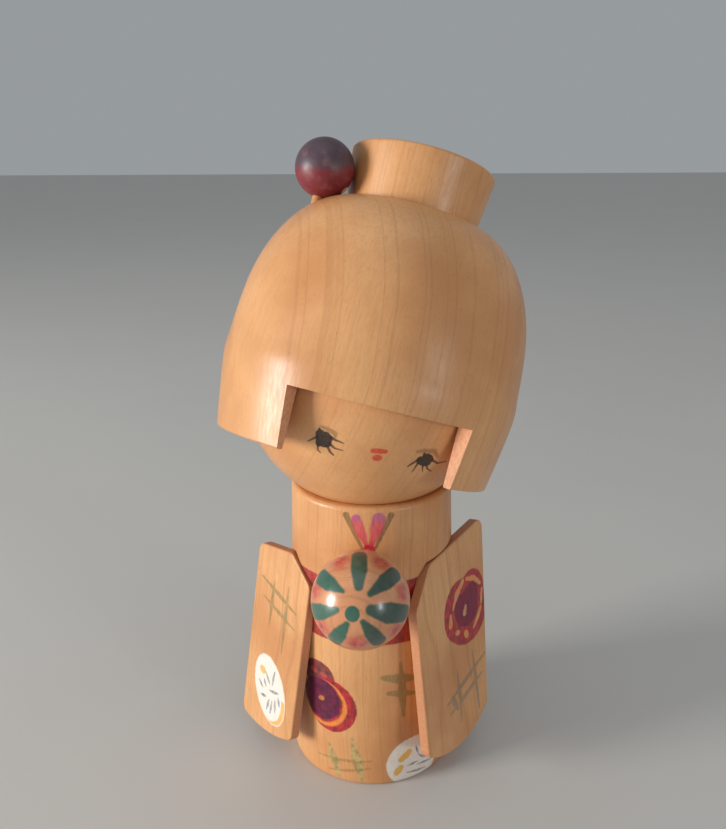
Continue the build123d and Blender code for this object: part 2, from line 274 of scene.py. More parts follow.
def without(graph, shape, hole):
    """Distance to a shape with another cut out of it."""
    return graph.math("MAXIMUM", shape, graph.math("MULTIPLY", hole, -1))


class Brush:
    """Lays paint on a surface colour, in coordinates whose edges are roughened like brushwork."""

    def __init__(self, graph, flat, colour, wobble=0.35, streak=(0.25, 1.6)):
        self.graph = graph
        self.colour = colour
        self.cover = 0.0
        shake = graph.tree.nodes.new("ShaderNodeSeparateColor")
        graph.put(shake.inputs[0], graph.noise(flat, 0.55, 3.0, 0.6, colour=True))
        shake = graph.join(shake.outputs[0], shake.outputs[1], 0.5)
        shake = graph.vector("SUBTRACT", shake, (0.5, 0.5, 0.5))
        self.point = graph.vector("MULTIPLY_ADD", shake, (2 * wobble,) * 3, flat)
        stretched = graph.vector("MULTIPLY", flat, (streak[1], streak[0], 1.0))
        self.streaks = graph.noise(stretched, 1.0, 3.0, 0.6)
        self.mottle = graph.noise(flat, 0.45, 3.0, 0.55)

    def mask(self, distance, edge=0.22, cover=1.0, uneven=0.3):
        """Paint cover from 0 to 1, thinner in streaks by the share uneven."""
        graph = self.graph
        full = graph.ramp(distance, edge, -edge)
        thin = graph.ramp(self.streaks, 0.35, 0.62, cover * (1 - uneven), cover)
        return graph.math("MULTIPLY", full, thin)

    def paint(self, distance, colour, second=None, **how):
        """Paints where distance is negative. A second colour comes through in patches."""
        graph = self.graph
        if second is not None:
            colour = graph.mix(graph.ramp(self.mottle, 0.38, 0.62), colour, second)
        mask = self.mask(distance, **how)
        self.colour = graph.mix(mask, self.colour, colour)
        self.cover = graph.math("MAXIMUM", self.cover, mask)


# ---------------------------------------------------------------------------------------------
# Wood
# ---------------------------------------------------------------------------------------------


# How wood's detail stretches, with the grain along z
SWAY = (0.5, 0.5, 1.0)
FIBRE = (1.4, 1.4, 0.045)
FINE_FIBRE = (6.0, 6.0, 0.30)
PORES = (3.2, 3.2, 0.42)
RING_SWAY = 5.0  # mm that a growth ring wanders


class Wood:
    """Lacquered pale hardwood. grain is the point in mm with the grain along z."""

    def __init__(self, graph, grain, pale, mid, dark, pith, rings=0.32, figure=1.0):
        self.graph = graph
        sway = graph.noise(graph.vector("MULTIPLY", grain, SWAY), 0.02, 2.0)
        radial = graph.vector("SUBTRACT", grain, (*pith, 0.0))
        radial = graph.vector("MULTIPLY", radial, (1.0, 1.0, 0.0))
        radius = graph.vector("LENGTH", radial)
        radius = graph.math("MULTIPLY_ADD", sway, RING_SWAY, radius)
        ring = graph.line_noise(radius, rings, 2.0)
        late = graph.math("MULTIPLY", graph.ramp(ring, 0.53, 0.57), graph.ramp(ring, 0.63, 0.58))
        fibre = graph.noise(graph.vector("MULTIPLY", grain, FIBRE), 1.0, 4.0, 0.6)
        fine = graph.noise(graph.vector("MULTIPLY", grain, FINE_FIBRE), 1.0, 3.0, 0.6)
        pores = graph.noise(graph.vector("MULTIPLY", grain, PORES), 1.0, 2.0, 0.5)
        pore = graph.ramp(pores, 0.665, 0.735)
        cloud = graph.noise(grain, 0.028, 3.0, 0.55)
        fleck = graph.noise(grain, 0.9, 3.0, 0.6)

        base = graph.mix(graph.ramp(cloud, 0.32, 0.68), pale, mid)
        base = graph.mix(graph.ramp(fibre, 0.40, 0.66, 0.0, 0.42 * figure), base, mid)
        base = graph.mix(graph.ramp(fine, 0.45, 0.75, 0.0, 0.20 * figure), base, dark)
        base = graph.mix(graph.math("MULTIPLY", late, 0.20 * figure), base, dark)
        base = graph.mix(graph.ramp(fleck, 0.56, 0.74, 0.0, 0.10), base, dark)
        self.colour = graph.mix(graph.math("MULTIPLY", pore, 0.34 * figure), base, dark)
        self.height = graph.math("MULTIPLY_ADD", fine, 0.35, fibre)
        self.height = graph.math("MULTIPLY_ADD", pore, -0.7, self.height)
        self.fibre = fibre

    def roughness(self, smooth, rough):
        """Duller along the raised fibres."""
        return self.graph.ramp(self.fibre, 0.35, 0.7, smooth, rough)


LACQUER = {"Coat Weight": 0.2, "Coat Roughness": 0.32, "Specular IOR Level": 0.36}
BALL_GLOSS = {"Coat Weight": 0.55, "Coat Roughness": 0.17, "Specular IOR Level": 0.5}
BEAD_GLOSS = {"Coat Weight": 0.15, "Coat Roughness": 0.35, "Specular IOR Level": 0.5}

# ---------------------------------------------------------------------------------------------
# Frames of the parts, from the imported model
# ---------------------------------------------------------------------------------------------

joints = {joint["name"]: joint for joint in frame["joints"]}


def middle(node):
    """The middle of a node's box, in metres."""
    low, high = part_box(node)
    return (low + high) / 2


HEAD_CENTRE = Vector(joints["head_lean"]["pos_m"]) * MM
head_up = Vector(joints["head_spin"]["axis"]).normalized()
HEAD_YAW = math.radians(10.0)  # the face's turn from the body's front
lean_azimuth = math.atan2(head_up.y, head_up.x)
lean = math.acos(head_up.z)
head_axes = (
    Matrix.Rotation(lean_azimuth, 3, "Z")
    @ Matrix.Rotation(lean, 3, "Y")
    @ Matrix.Rotation(HEAD_YAW - lean_azimuth, 3, "Z")
)
HEAD_AXES = tuple(head_axes.col[i].copy() for i in range(3))
WORLD_AXES = (Vector((1, 0, 0)), Vector((0, 1, 0)), Vector((0, 0, 1)))


def along(graph, vector, axes):
    """A vector along three directions."""
    return graph.join(*(graph.dot(vector, axis) for axis in axes))


def local(graph, origin, axes):
    """The point in mm along three directions from an origin."""
    return along(graph, graph.vector("SUBTRACT", graph.mm, tuple(origin)), axes)


def lacquered(name, pith, origin=(0, 0, 0), axes=WORLD_AXES, figure=1.0, smooth=0.34, rough=0.46):
    """A plain piece of lacquered wood."""
    graph = Graph(name)
    wood = Wood(graph, local(graph, origin, axes), PALE, MID, DARK, pith, figure=figure)
    normal = graph.bump(wood.height, 0.16, 0.12)
    return graph.finish(wood.colour, wood.roughness(smooth, rough), normal, **LACQUER)


def give(node, material):
    """Puts one material on every slot of a CAD node."""
    piece = frame["nodes"][node]
    if not piece.data.materials:
        piece.data.materials.append(material)
    for slot in piece.material_slots:
        slot.material = material


# ---------------------------------------------------------------------------------------------
# Body: turned, with collar, sash and flowers
# ---------------------------------------------------------------------------------------------

BODY_WRAP = 25.0  # mm of surface per radian around the body
BODY_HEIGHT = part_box("body")[1].z * MM
SASH_MIDDLE = 60.4  # height of its middle
SASH_HALF = 10.1  # half its width


def around_body(graph):
    """Distance around from the front in mm, and height."""
    x, y, z = graph.split(graph.mm)
    azimuth = graph.math("ARCTAN2", x, graph.math("MULTIPLY", y, -1.0))
    return graph.join(graph.math("MULTIPLY", azimuth, BODY_WRAP), z, 0.0), z


def white_flower_marks(brush, lines, radius):
    """Fine slate-blue brush lines of a white flower."""
    graph = brush.graph
    marks = [leaf(graph, brush.point, a, b, radius, 0.35) for a, b in lines]
    brush.paint(graph.smallest(marks), SLATE, edge=0.18, cover=0.9, uneven=0.45)


def body_material():
    graph = Graph("body_painted_wood")
    wood = Wood(graph, graph.mm, PALE, MID, DARK, (84.0, 9.0), rings=0.26, figure=0.8)
    flat, height = around_body(graph)
    brush = Brush(graph, flat, wood.colour)
    point = brush.point

    # Collar: brown outer strokes, pink petals and a crimson knot
    outer = graph.smallest([
        line(graph, point, ((-5.4, 91.2), (-3.0, 86.3), (-0.4, 80.8)), (0.95, 0.7, 0.35)),
        line(graph, point, ((7.7, 91.2), (5.3, 86.3), (2.8, 80.8)), (0.95, 0.7, 0.35)),
    ])
    brush.paint(outer, COLLAR_BROWN, OLIVE, edge=0.25, cover=0.85)
    petals = graph.smallest([
        line(graph, point, ((-2.4, 90.2), (-1.3, 87.0), (0.8, 82.0)), (1.5, 1.5, 0.6)),
        line(graph, point, ((4.2, 90.2), (3.3, 86.8), (1.8, 82.0)), (2.0, 1.75, 0.6)),
    ])
    petal = graph.mix(graph.ramp(height, 88.0, 91.0), PINK, VIOLET)
    petal = graph.mix(graph.ramp(height, 85.0, 81.5), petal, CRIMSON)
    brush.paint(petals, petal, edge=0.3, cover=0.86)
    knot = disc(graph, point, (1.3, 81.2), 1.7, 1.6)
    brush.paint(knot, CRIMSON, PINK, cover=0.95, uneven=0.1)

    # Sash
    above = graph.math("SUBTRACT", graph.dot(point, (0, 1, 0)), SASH_MIDDLE)
    sash = graph.math("SUBTRACT", graph.math("ABSOLUTE", above), SASH_HALF)
    brush.paint(sash, OBI_RED, DEEP_CRIMSON, edge=0.3, cover=0.97, uneven=0.12)

    # Crimson flower at the lower left, with a smaller bud above it
    bud = disc(graph, point, (-15.5, 36.3), 6.0, 5.2)
    brush.paint(bud, DEEP_CRIMSON, DARK_PLUM, cover=0.94, uneven=0.1)
    bud_eyes = graph.smallest([
        disc(graph, point, (-17.4, 37.4), 1.4, 0.9), disc(graph, point, (-13.4, 37.2), 1.3, 0.9)
    ])
    brush.paint(bud_eyes, ROSE, cover=0.55)
    flower = disc(graph, point, (-11.4, 27.2), 8.8, 9.3)
    brush.paint(flower, CRIMSON, DEEP_CRIMSON, cover=0.97, uneven=0.1)
    crescent = without(graph, disc(graph, point, (-13.6, 27.4), 8.0, 8.2),
                       disc(graph, point, (-14.3, 28.0), 7.4, 7.6))
    brush.paint(crescent, ORANGE, edge=0.35, cover=0.92, uneven=0.3)
    heart = disc(graph, point, (-14.6, 28.4), 7.0, 7.2)
    brush.paint(heart, PLUM, DARK_PLUM, edge=0.4, cover=0.95, uneven=0.1)
    brush.paint(disc(graph, point, (-14.3, 28.6), 1.2, 0.8, 30), ORANGE, cover=0.6)

    # Leaf cross at the right
    cross = graph.smallest([
        leaf(graph, point, (5.2, 39.2), (15.2, 37.2), 1.75, 0.5),
        leaf(graph, point, (6.6, 33.7), (14.9, 31.9), 1.35, 0.5),
        leaf(graph, point, (10.4, 43.4), (11.4, 24.6), 1.45, 0.3),
    ])
    brush.paint(cross, OLIVE, GREEN_OLIVE, edge=0.35, cover=0.62, uneven=0.3)

    # Pale well-curb leaves at the hem
    thin = graph.smallest([
        leaf(graph, point, (-15.7, 7.4), (1.7, 9.4), 0.45, 0.6),
        leaf(graph, point, (-11.8, 3.4), (1.0, 6.6), 0.45, 0.6),
    ])
    brush.paint(thin, OLIVE, edge=0.25, cover=0.55, uneven=0.5)
    leaves = graph.smallest([
        leaf(graph, point, (-11.5, 13.0), (-8.5, 2.0), 1.7, 0.25),
        leaf(graph, point, (-4.3, 17.0), (-1.0, 1.2), 1.8, 0.2),
    ])
    brush.paint(leaves, PALE_GREEN, GREEN_OLIVE, edge=0.4, cover=0.66, uneven=0.4)

    # White flower at the lower right
    white = disc(graph, point, (15.0, 7.0), 8.9, 9.0)
    brush.paint(white, CHALK, edge=0.3, cover=0.95, uneven=0.12)
    yolks = graph.smallest([
        leaf(graph, point, (10.6, 8.6), (13.2, 10.8), 1.25, 0.8),
        leaf(graph, point, (9.2, 4.0), (10.4, 5.8), 1.2, 0.8),
    ])
    brush.paint(yolks, YELLOW, cover=0.95, uneven=0.15)
    white_flower_marks(brush, [
        ((15.4, 12.2), (16.6, 8.6)), ((16.4, 8.4), (18.9, 6.2)), ((12.6, 5.7), (16.2, 6.0)),
        ((16.0, 4.9), (21.6, 4.0)), ((12.4, 3.2), (19.2, 2.2)), ((19.0, 9.5), (21.2, 6.8)),
    ], 0.42)

    # Hem and neck edge are rubbed paler
    hem = graph.ramp(height, 1.6, 0.2)
    neck_edge = graph.ramp(height, BODY_HEIGHT - 1.2, BODY_HEIGHT - 0.2)
    worn = graph.math("MAXIMUM", hem, neck_edge)
    worn = graph.math("MULTIPLY", worn, graph.ramp(brush.mottle, 0.35, 0.65, 0.1, 0.6))
    colour = graph.mix(worn, brush.colour, PALE)

    film = graph.math("MULTIPLY_ADD", brush.cover, 0.8, wood.height)
    normal = graph.bump(film, 0.18, 0.14)
    roughness = graph.blend(brush.cover, wood.roughness(0.34, 0.46), 0.42)
    return graph.finish(colour, roughness, normal, **LACQUER)


# ---------------------------------------------------------------------------------------------
# Sleeves: sawn boards, each with its own decoration
# ---------------------------------------------------------------------------------------------

SLEEVE_SPLAY = math.radians(8.0)
SLEEVE_OUT = 28.0  # mm from the body's axis to the outer face
SLEEVE_LEVEL = 50.0
RIGHT_TURN = 44.0  # degrees that a board turns to the front
LEFT_TURN = 30.0


def sleeve_frame(side, turn):
    """Origin on the outer face, and the directions ahead, up and out of the board."""
    turn = math.radians(turn)
    out = Vector((
        side * math.cos(turn) * math.cos(SLEEVE_SPLAY),
        -math.sin(turn) * math.cos(SLEEVE_SPLAY),
        math.sin(SLEEVE_SPLAY),
    ))
    ahead = Vector((-side * math.sin(turn), -math.cos(turn), 0.0))
    up = out.cross(ahead)
    up = up if up.z > 0 else -up
    return Vector((0, 0, SLEEVE_LEVEL)) + SLEEVE_OUT * out, ahead, up, out


def sleeve_material(name, side, turn, decorate, seed):
    """A painted board. side is 1 at the doll's left and -1 at its right; seed shifts its grain."""
    graph = Graph(name)
    origin, ahead, up, out = sleeve_frame(side, turn)
    point = local(graph, origin, (ahead, out, up))
    grain = graph.vector("ADD", point, (seed, seed * 0.7, 0.0))
    wood = Wood(graph, grain, PALE, MID, DARK, (seed + 4.0, seed * 0.7 + 31.0), rings=0.22)
    x, depth, z = graph.split(point)
    brush = Brush(graph, graph.join(x, z, 0.0), wood.colour)
    decorate(brush)
    outer = graph.ramp(depth, -0.9, -0.5)
    colour = graph.mix(outer, wood.colour, brush.colour)
    cover = graph.math("MULTIPLY", outer, brush.cover)

    # Sawn edges: open grain, a little redder, and duller than the faces
    facing = graph.math("ABSOLUTE", graph.dot(graph.normal, out))
    sawn = graph.ramp(facing, 0.75, 0.45)
    pores = graph.noise(graph.vector("MULTIPLY", point, (1.0, 2.5, 1.0)), 1.6, 3.0, 0.65)
    edge = graph.mix(graph.ramp(pores, 0.4, 0.7, 0.0, 0.5), SAWN_PALE, SAWN_DARK)
    colour = graph.mix(graph.math("MULTIPLY", sawn, 0.75), colour, edge)
    height = graph.math("MULTIPLY_ADD", cover, 0.8, wood.height)
    height = graph.math("MULTIPLY_ADD", graph.math("MULTIPLY", sawn, pores), 1.4, height)
    normal = graph.bump(height, 0.18, 0.14)
    roughness = graph.blend(sawn, wood.roughness(0.36, 0.5), 0.6)
    return graph.finish(colour, roughness, normal, **LACQUER)


def right_decoration(brush):
    """Well-curb lattice in olive, and an egg-white flower with slate marks."""
    graph, point = brush.graph, brush.point
    lattice = graph.smallest([
        leaf(graph, point, (-21.6, 5.8), (-2.2, 0.9), 0.85, 0.35),
        leaf(graph, point, (-19.8, -0.4), (-2.4, -4.4), 0.75, 0.3),
        leaf(graph, point, (-14.6, 6.8), (-15.8, -8.6), 0.95, 0.25),
        leaf(graph, point, (-7.0, 8.2), (-8.2, -14.8), 1.0, 0.2),
    ])
    brush.paint(lattice, OLIVE, GREEN_OLIVE, edge=0.25, cover=0.68, uneven=0.4)
    white = disc(graph, point, (-12.7, -30.2), 8.3, 11.5, 24)
    brush.paint(white, CHALK, edge=0.3, cover=0.97, uneven=0.06)
    rim = without(graph, disc(graph, point, (-12.7, -30.2), 8.0, 11.2, 24),
                  disc(graph, point, (-14.6, -29.4), 8.0, 11.6, 24))
    low = graph.ramp(graph.dot(point, (0, 1, 0)), -29.0, -32.0)
    rim = graph.math("MAXIMUM", rim, graph.math("MULTIPLY_ADD", low, -2.0, 1.0))
    brush.paint(rim, YELLOW, cover=0.95)
    brush.paint(disc(graph, point, (-17.3, -25.2), 1.6, 1.35), YELLOW, cover=0.95)
    white_flower_marks(brush, [
        ((-15.5, -25.2), (-12.9, -28.2)), ((-10.7, -22.8), (-11.6, -28.0)),
        ((-18.9, -29.4), (-16.6, -31.2)), ((-16.0, -28.0), (-15.0, -30.0)),
        ((-17.2, -34.0), (-14.4, -33.4)), ((-12.8, -30.4), (-8.0, -29.2)),
        ((-12.6, -33.6), (-13.6, -37.6)), ((-11.0, -33.4), (-11.6, -38.0)),
        ((-9.4, -32.2), (-9.0, -36.4)), ((-7.9, -30.4), (-6.9, -33.0)),
    ], 0.58)


def left_decoration(brush):
    """Crimson flower with a plum heart, and a slate-olive lattice."""
    graph, point = brush.graph, brush.point
    rosette = graph.smallest([
        disc(graph, point, (-10.6, -3.0), 13.2, 10.7, 25),
        disc(graph, point, (-6.0, -1.0), 8.4, 9.6, 15),
        disc(graph, point, (-14.4, 0.2), 8.2, 8.6, 10),
    ])
    brush.paint(rosette, CRIMSON, DEEP_CRIMSON, edge=0.25, cover=0.96, uneven=0.12)
    gaps = graph.smallest([
        line(graph, point, ((-10.2, 7.0), (-6.0, 4.4), (-3.2, 1.0)), (0.9, 1.15, 0.5)),
        line(graph, point, ((-1.4, -0.6), (-0.9, -3.4)), (0.7, 1.15)),
        line(graph, point, ((-12.6, 6.8), (-17.0, 5.2), (-20.6, 1.8)), (0.6, 0.95, 0.6)),
        line(graph, point, ((-21.2, -0.8), (-20.2, -4.6)), (0.8, 0.6)),
        line(graph, point, ((-19.6, -6.2), (-17.2, -8.6), (-14.2, -10.6)), (0.7, 1.0, 0.5)),
        disc(graph, point, (-4.4, -7.6), 1.5, 0.9, 20),
        disc(graph, point, (-9.4, -10.6), 1.7, 1.2, 60),
    ])
    brush.paint(gaps, ORANGE, PALE, edge=0.22, cover=0.85)
    heart = graph.smallest([
        disc(graph, point, (-10.8, -2.4), 7.4, 5.6, 26),
        disc(graph, point, (-14.6, 0.4), 4.2, 4.2),
    ])
    brush.paint(heart, PLUM, DEEP_CRIMSON, edge=0.3, cover=0.94, uneven=0.15)
    drop = line(graph, point, ((-10.6, -1.4), (-9.6, -3.2)), (0.5, 1.15))
    brush.paint(drop, PALE, edge=0.2, cover=0.85)
    lattice = graph.smallest([
        leaf(graph, point, (-11.8, -17.6), (-12.8, -38.8), 1.1, 0.3),
        leaf(graph, point, (-2.0, -19.4), (-1.6, -36.8), 1.0, 0.3),
        leaf(graph, point, (5.6, -27.0), (-19.6, -22.4), 1.0, 0.35),
        leaf(graph, point, (4.2, -31.0), (-16.4, -28.0), 1.0, 0.35),
        leaf(graph, point, (2.6, -26.2), (0.0, -31.2), 1.25, 0.6),
    ])
    brush.paint(lattice, OLIVE, SLATE, edge=0.3, cover=0.62, uneven=0.4)


# ---------------------------------------------------------------------------------------------
# Hand ball: glossy, teal petals around its front and rose patches between them
# ---------------------------------------------------------------------------------------------


BALL_POLE = Vector((0.0, -0.893, 0.45)).normalized()  # where the petals meet


def ball_material():
    graph = Graph("hand_ball_lacquer")
    low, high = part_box("hand_ball")
    radius = (high.x - low.x) / 2 * MM
    centre = Vector((middle("hand_ball").x * MM, low.y * MM + radius, middle("hand_ball").z * MM))
    across = WORLD_AXES[0]
    up = BALL_POLE.cross(across)
    up = up if up.z > 0 else -up
    way = graph.vector("NORMALIZE", graph.vector("SUBTRACT", graph.mm, tuple(centre)))
    angle = graph.math("ARCCOSINE", graph.dot(way, BALL_POLE))
    spoke = graph.join(graph.dot(way, across), graph.dot(way, up), 0.0)
    spoke = graph.vector("NORMALIZE", spoke)
    flat = graph.vector("SCALE", spoke, scale=graph.math("MULTIPLY", angle, radius))

    wood = Wood(graph, graph.mm, BALL_PALE, BALL_MID, DARK, (5, 9))
    brush = Brush(graph, flat, wood.colour, wobble=0.25, streak=(0.5, 0.5))
    point = brush.point
    patches = graph.smallest([
        disc(graph, point, place, 2.9, 2.9)
        for place in ((-5.8, 12.4), (7.0, 12.8), (14.6, 3.4), (-14.2, 3.2), (-11.6, -8.8),
                      (0.2, -12.2), (13.0, -9.0))
    ])
    brush.paint(patches, ROSE, OBI_RED, edge=2.2, cover=0.85, uneven=0.1)
    petals = graph.smallest([
        line(graph, point, (inner, belly, tip), radii)
        for inner, belly, tip, radii in (
            ((0.5, 4.4), (0.3, 9.0), (-0.2, 14.6), (1.25, 2.35, 2.5)),
            ((3.6, 2.6), (8.0, 6.2), (11.6, 9.2), (0.9, 2.4, 2.6)),
            ((4.0, -1.6), (9.2, -2.6), (16.0, -3.6), (1.5, 3.1, 3.0)),
            ((2.0, -4.8), (4.4, -8.2), (6.8, -11.8), (0.9, 2.1, 2.5)),
            ((-2.4, -5.6), (-4.8, -9.0), (-7.4, -12.6), (0.9, 2.2, 2.5)),
            ((-5.2, -1.9), (-10.6, -3.2), (-16.0, -4.2), (0.9, 2.5, 3.0)),
            ((-3.6, 2.9), (-8.0, 5.0), (-12.6, 7.4), (0.6, 2.2, 2.7)),
        )
    ])
    # Painted shade: the petals' teal darkens from the viewer's left to the right of the ball, away
    # from the window light
    painted_shade = graph.ramp(graph.dot(flat, (1, 0, 0)), -6.0, 9.0)
    teal = graph.mix(graph.math("MULTIPLY", painted_shade, 0.6), TEAL, TEAL_IN_SHADE)
    brush.paint(petals, teal, edge=0.4, cover=0.96, uneven=0.05)
    dot = disc(graph, point, (-0.9, -2.7), 1.95, 2.15)
    brush.paint(dot, TEAL, edge=0.25, cover=0.97, uneven=0.05)
    height = graph.math("MULTIPLY_ADD", brush.cover, 0.5, wood.fibre)
    normal = graph.bump(height, 0.10, 0.10)
    roughness = graph.ramp(brush.mottle, 0.3, 0.7, 0.28, 0.36)
    return graph.finish(brush.colour, roughness, normal, **BALL_GLOSS)


# ---------------------------------------------------------------------------------------------
# Head: face, hair cap, bun and bead
# ---------------------------------------------------------------------------------------------


def face_material():
    graph = Graph("face_painted_wood")
    point = local(graph, HEAD_CENTRE, HEAD_AXES)
    wood = Wood(graph, point, PALE, MID, DARK, (96.0, -8.0), rings=0.24, figure=0.6)
    x, y, z = graph.split(point)
    front = graph.ramp(y, -6.0, -10.0)
    brush = Brush(graph, graph.join(x, z, 0.0), wood.colour, wobble=0.16, streak=(2.0, 2.0))
    flat = brush.point

    # Brushed brown shadow over and outside each eye
    shadows = graph.smallest([
        line(graph, flat, ((-13.4, -15.0), (-11.4, -15.3), (-9.4, -15.9), (-9.1, -17.0)),
             (0.25, 0.55, 0.6, 0.3)),
        line(graph, flat, ((12.2, -15.5), (14.2, -14.9), (16.9, -14.5), (18.4, -15.6)),
             (0.3, 0.6, 0.7, 0.4)),
    ])
    brush.paint(shadows, SHADOW_BROWN, edge=0.4, cover=0.9, uneven=0.3)

    # Irises: squarish dabs of ink
    eyes = graph.smallest([
        line(graph, flat, ((-12.9, -16.9), (-12.4, -19.4)), (1.15, 0.95)),
        line(graph, flat, ((-11.5, -17.2), (-11.2, -19.0)), (1.2, 1.2)),
        line(graph, flat, ((-10.6, -17.6), (-10.5, -19.0)), (1.05, 0.95)),
        line(graph, flat, ((-13.4, -15.8), (-12.9, -17.5)), (0.35, 0.7)),
        line(graph, flat, ((14.0, -17.6), (14.6, -17.7)), (1.15, 1.3)),
        line(graph, flat, ((15.6, -16.9), (16.2, -16.9)), (1.5, 1.35)),
        line(graph, flat, ((14.4, -15.7), (14.8, -17.2)), (0.35, 0.9)),
        line(graph, flat, ((15.4, -18.2), (16.4, -17.8)), (0.9, 0.9)),
    ])
    lashes = graph.smallest([
        line(graph, flat, places, radii)
        for places, radii in (
            (((-13.4, -17.9), (-14.4, -18.9), (-15.2, -19.6)), (0.4, 0.26, 0.18)),
            (((-10.0, -17.2), (-8.5, -17.6), (-6.7, -17.8)), (0.4, 0.26, 0.16)),
            (((-10.0, -18.8), (-8.4, -19.7), (-6.3, -19.7)), (0.4, 0.24, 0.14)),
            (((-10.4, -19.6), (-9.3, -20.9), (-8.1, -21.6)), (0.42, 0.3, 0.18)),
            (((-12.6, -20.0), (-12.2, -21.3), (-11.4, -21.8)), (0.34, 0.22, 0.15)),
            (((13.2, -17.7), (12.0, -19.0), (11.2, -19.9)), (0.42, 0.32, 0.2)),
            (((13.6, -18.6), (13.3, -20.2), (13.0, -21.2)), (0.34, 0.22, 0.14)),
            (((15.2, -18.9), (15.6, -19.8), (15.9, -20.6)), (0.32, 0.2, 0.13)),
            (((16.2, -18.6), (17.0, -19.6), (18.3, -20.0)), (0.36, 0.26, 0.18)),
            (((17.3, -16.9), (19.2, -17.5), (21.6, -16.6)), (0.42, 0.28, 0.16)),
        )
    ])
    brush.paint(lashes, BRUSH_BROWN, INK, edge=0.14, cover=0.92, uneven=0.15)
    brush.paint(eyes, INK, edge=0.16, cover=0.97, uneven=0.06)

    # Mouth: two dabs, the upper one wider
    mouth = graph.smallest([
        leaf(graph, flat, (0.8, -17.9), (4.2, -17.3), 0.72, 0.75),
        disc(graph, flat, (2.6, -19.45), 1.3, 0.85, 12),
    ])
    brush.paint(mouth, LIP_RED, edge=0.2, cover=0.94, uneven=0.25)

    colour = graph.mix(front, wood.colour, brush.colour)
    cover = graph.math("MULTIPLY", front, brush.cover)
    normal = graph.bump(graph.math("MULTIPLY_ADD", cover, 0.6, wood.height), 0.14, 0.12)
    roughness = graph.blend(cover, wood.roughness(0.33, 0.44), 0.5)
    return graph.finish(colour, roughness, normal, **LACQUER)


def hair_material():
    """Turned cap: lacquered outside, raw saw-cut wood in the window, inside and under the rim."""
    graph = Graph("hair_cap_wood")
    point = local(graph, HEAD_CENTRE, HEAD_AXES)
    wood = Wood(graph, point, PALE, MID, DARK, (118.0, 14.0), rings=0.2, figure=0.8)
    x, y, z = graph.split(point)
    facing = along(graph, graph.normal, HEAD_AXES)
    sideways = graph.vector("NORMALIZE", graph.join(x, y, 0.0))
    outward = graph.vector("DOT_PRODUCT", facing, sideways)
    cut = graph.math("MULTIPLY", graph.ramp(outward, 0.7, 0.5), graph.ramp(z, 12.0, 8.0))
    pores = graph.noise(graph.vector("MULTIPLY", point, (1.0, 1.0, 0.7)), 1.3, 4.0, 0.65)
    raw = graph.mix(graph.ramp(pores, 0.38, 0.68, 0.0, 0.55), CUT_PALE, CUT_DARK)
    colour = graph.mix(graph.math("MULTIPLY", cut, 0.85), wood.colour, raw)

    # Faint lathe lines, and open pores where it is cut
    lathe = graph.line_noise(z, 2.4, 2.0)
    height = graph.math("MULTIPLY_ADD", lathe, 0.12, wood.height)
    height = graph.math("MULTIPLY_ADD", graph.math("MULTIPLY", cut, pores), 1.6, height)
    normal = graph.bump(height, 0.16, 0.14)
    roughness = graph.blend(cut, wood.roughness(0.32, 0.46), 0.68)
    return graph.finish(colour, roughness, normal, **LACQUER)


def bead_material():
    graph = Graph("bead_paint")
    centre = middle("hair_bead") * MM
    point = graph.vector("SUBTRACT", graph.mm, tuple(centre))
    mottle = graph.noise(point, 0.35, 4.0, 0.6)
    grain = graph.noise(graph.vector("MULTIPLY", point, (2.4, 2.4, 0.5)), 1.0, 4.0, 0.6)
    level = graph.dot(point, (0.02, -0.05, 1.0))
    level = graph.math("MULTIPLY_ADD", mottle, 2.2, level)
    violet = graph.ramp(level, 0.6, 3.0)
    colour = graph.mix(violet, BEAD_RED, BEAD_VIOLET)
    colour = graph.mix(graph.ramp(grain, 0.45, 0.75, 0.0, 0.3), colour, BEAD_GRAIN)
    colour = graph.mix(graph.ramp(mottle, 0.5, 0.75, 0.0, 0.22), colour, BEAD_BLOOM)
    spot = graph.vector("DISTANCE", point, (5.6, -1.6, -5.9))
    colour = graph.mix(graph.ramp(spot, 1.5, 0.9), colour, CREAM)
    normal = graph.bump(graph.math("MULTIPLY_ADD", grain, 0.6, mottle), 0.22, 0.16)
    roughness = graph.ramp(mottle, 0.35, 0.7, 0.42, 0.56)
    return graph.finish(colour, roughness, normal, **BEAD_GLOSS)


# ---------------------------------------------------------------------------------------------
# Steel of the neck spring, cotters and washers
# ---------------------------------------------------------------------------------------------


def steel_material(name, tone, smooth):
    """Bare steel of a grey tone, 0 to 255, with darker, warmer stains."""
    graph = Graph(name)
    brushed = graph.noise(graph.vector("MULTIPLY", graph.mm, (6.0, 6.0, 1.2)), 1.0, 4.0, 0.6)
    stain = graph.noise(graph.mm, 0.4, 3.0, 0.6)
    colour = graph.mix(graph.ramp(stain, 0.5, 0.75, 0.0, 0.5), linear(tone, tone, tone),
                       linear(tone - 45, tone - 55, tone - 62))
    normal = graph.bump(brushed, 0.12, 0.05)
    roughness = graph.ramp(brushed, 0.3, 0.7, smooth, smooth + 0.18)
    return graph.finish(colour, roughness, normal, Metallic=1.0)


HEAD_WOOD = {"origin": HEAD_CENTRE, "axes": HEAD_AXES}

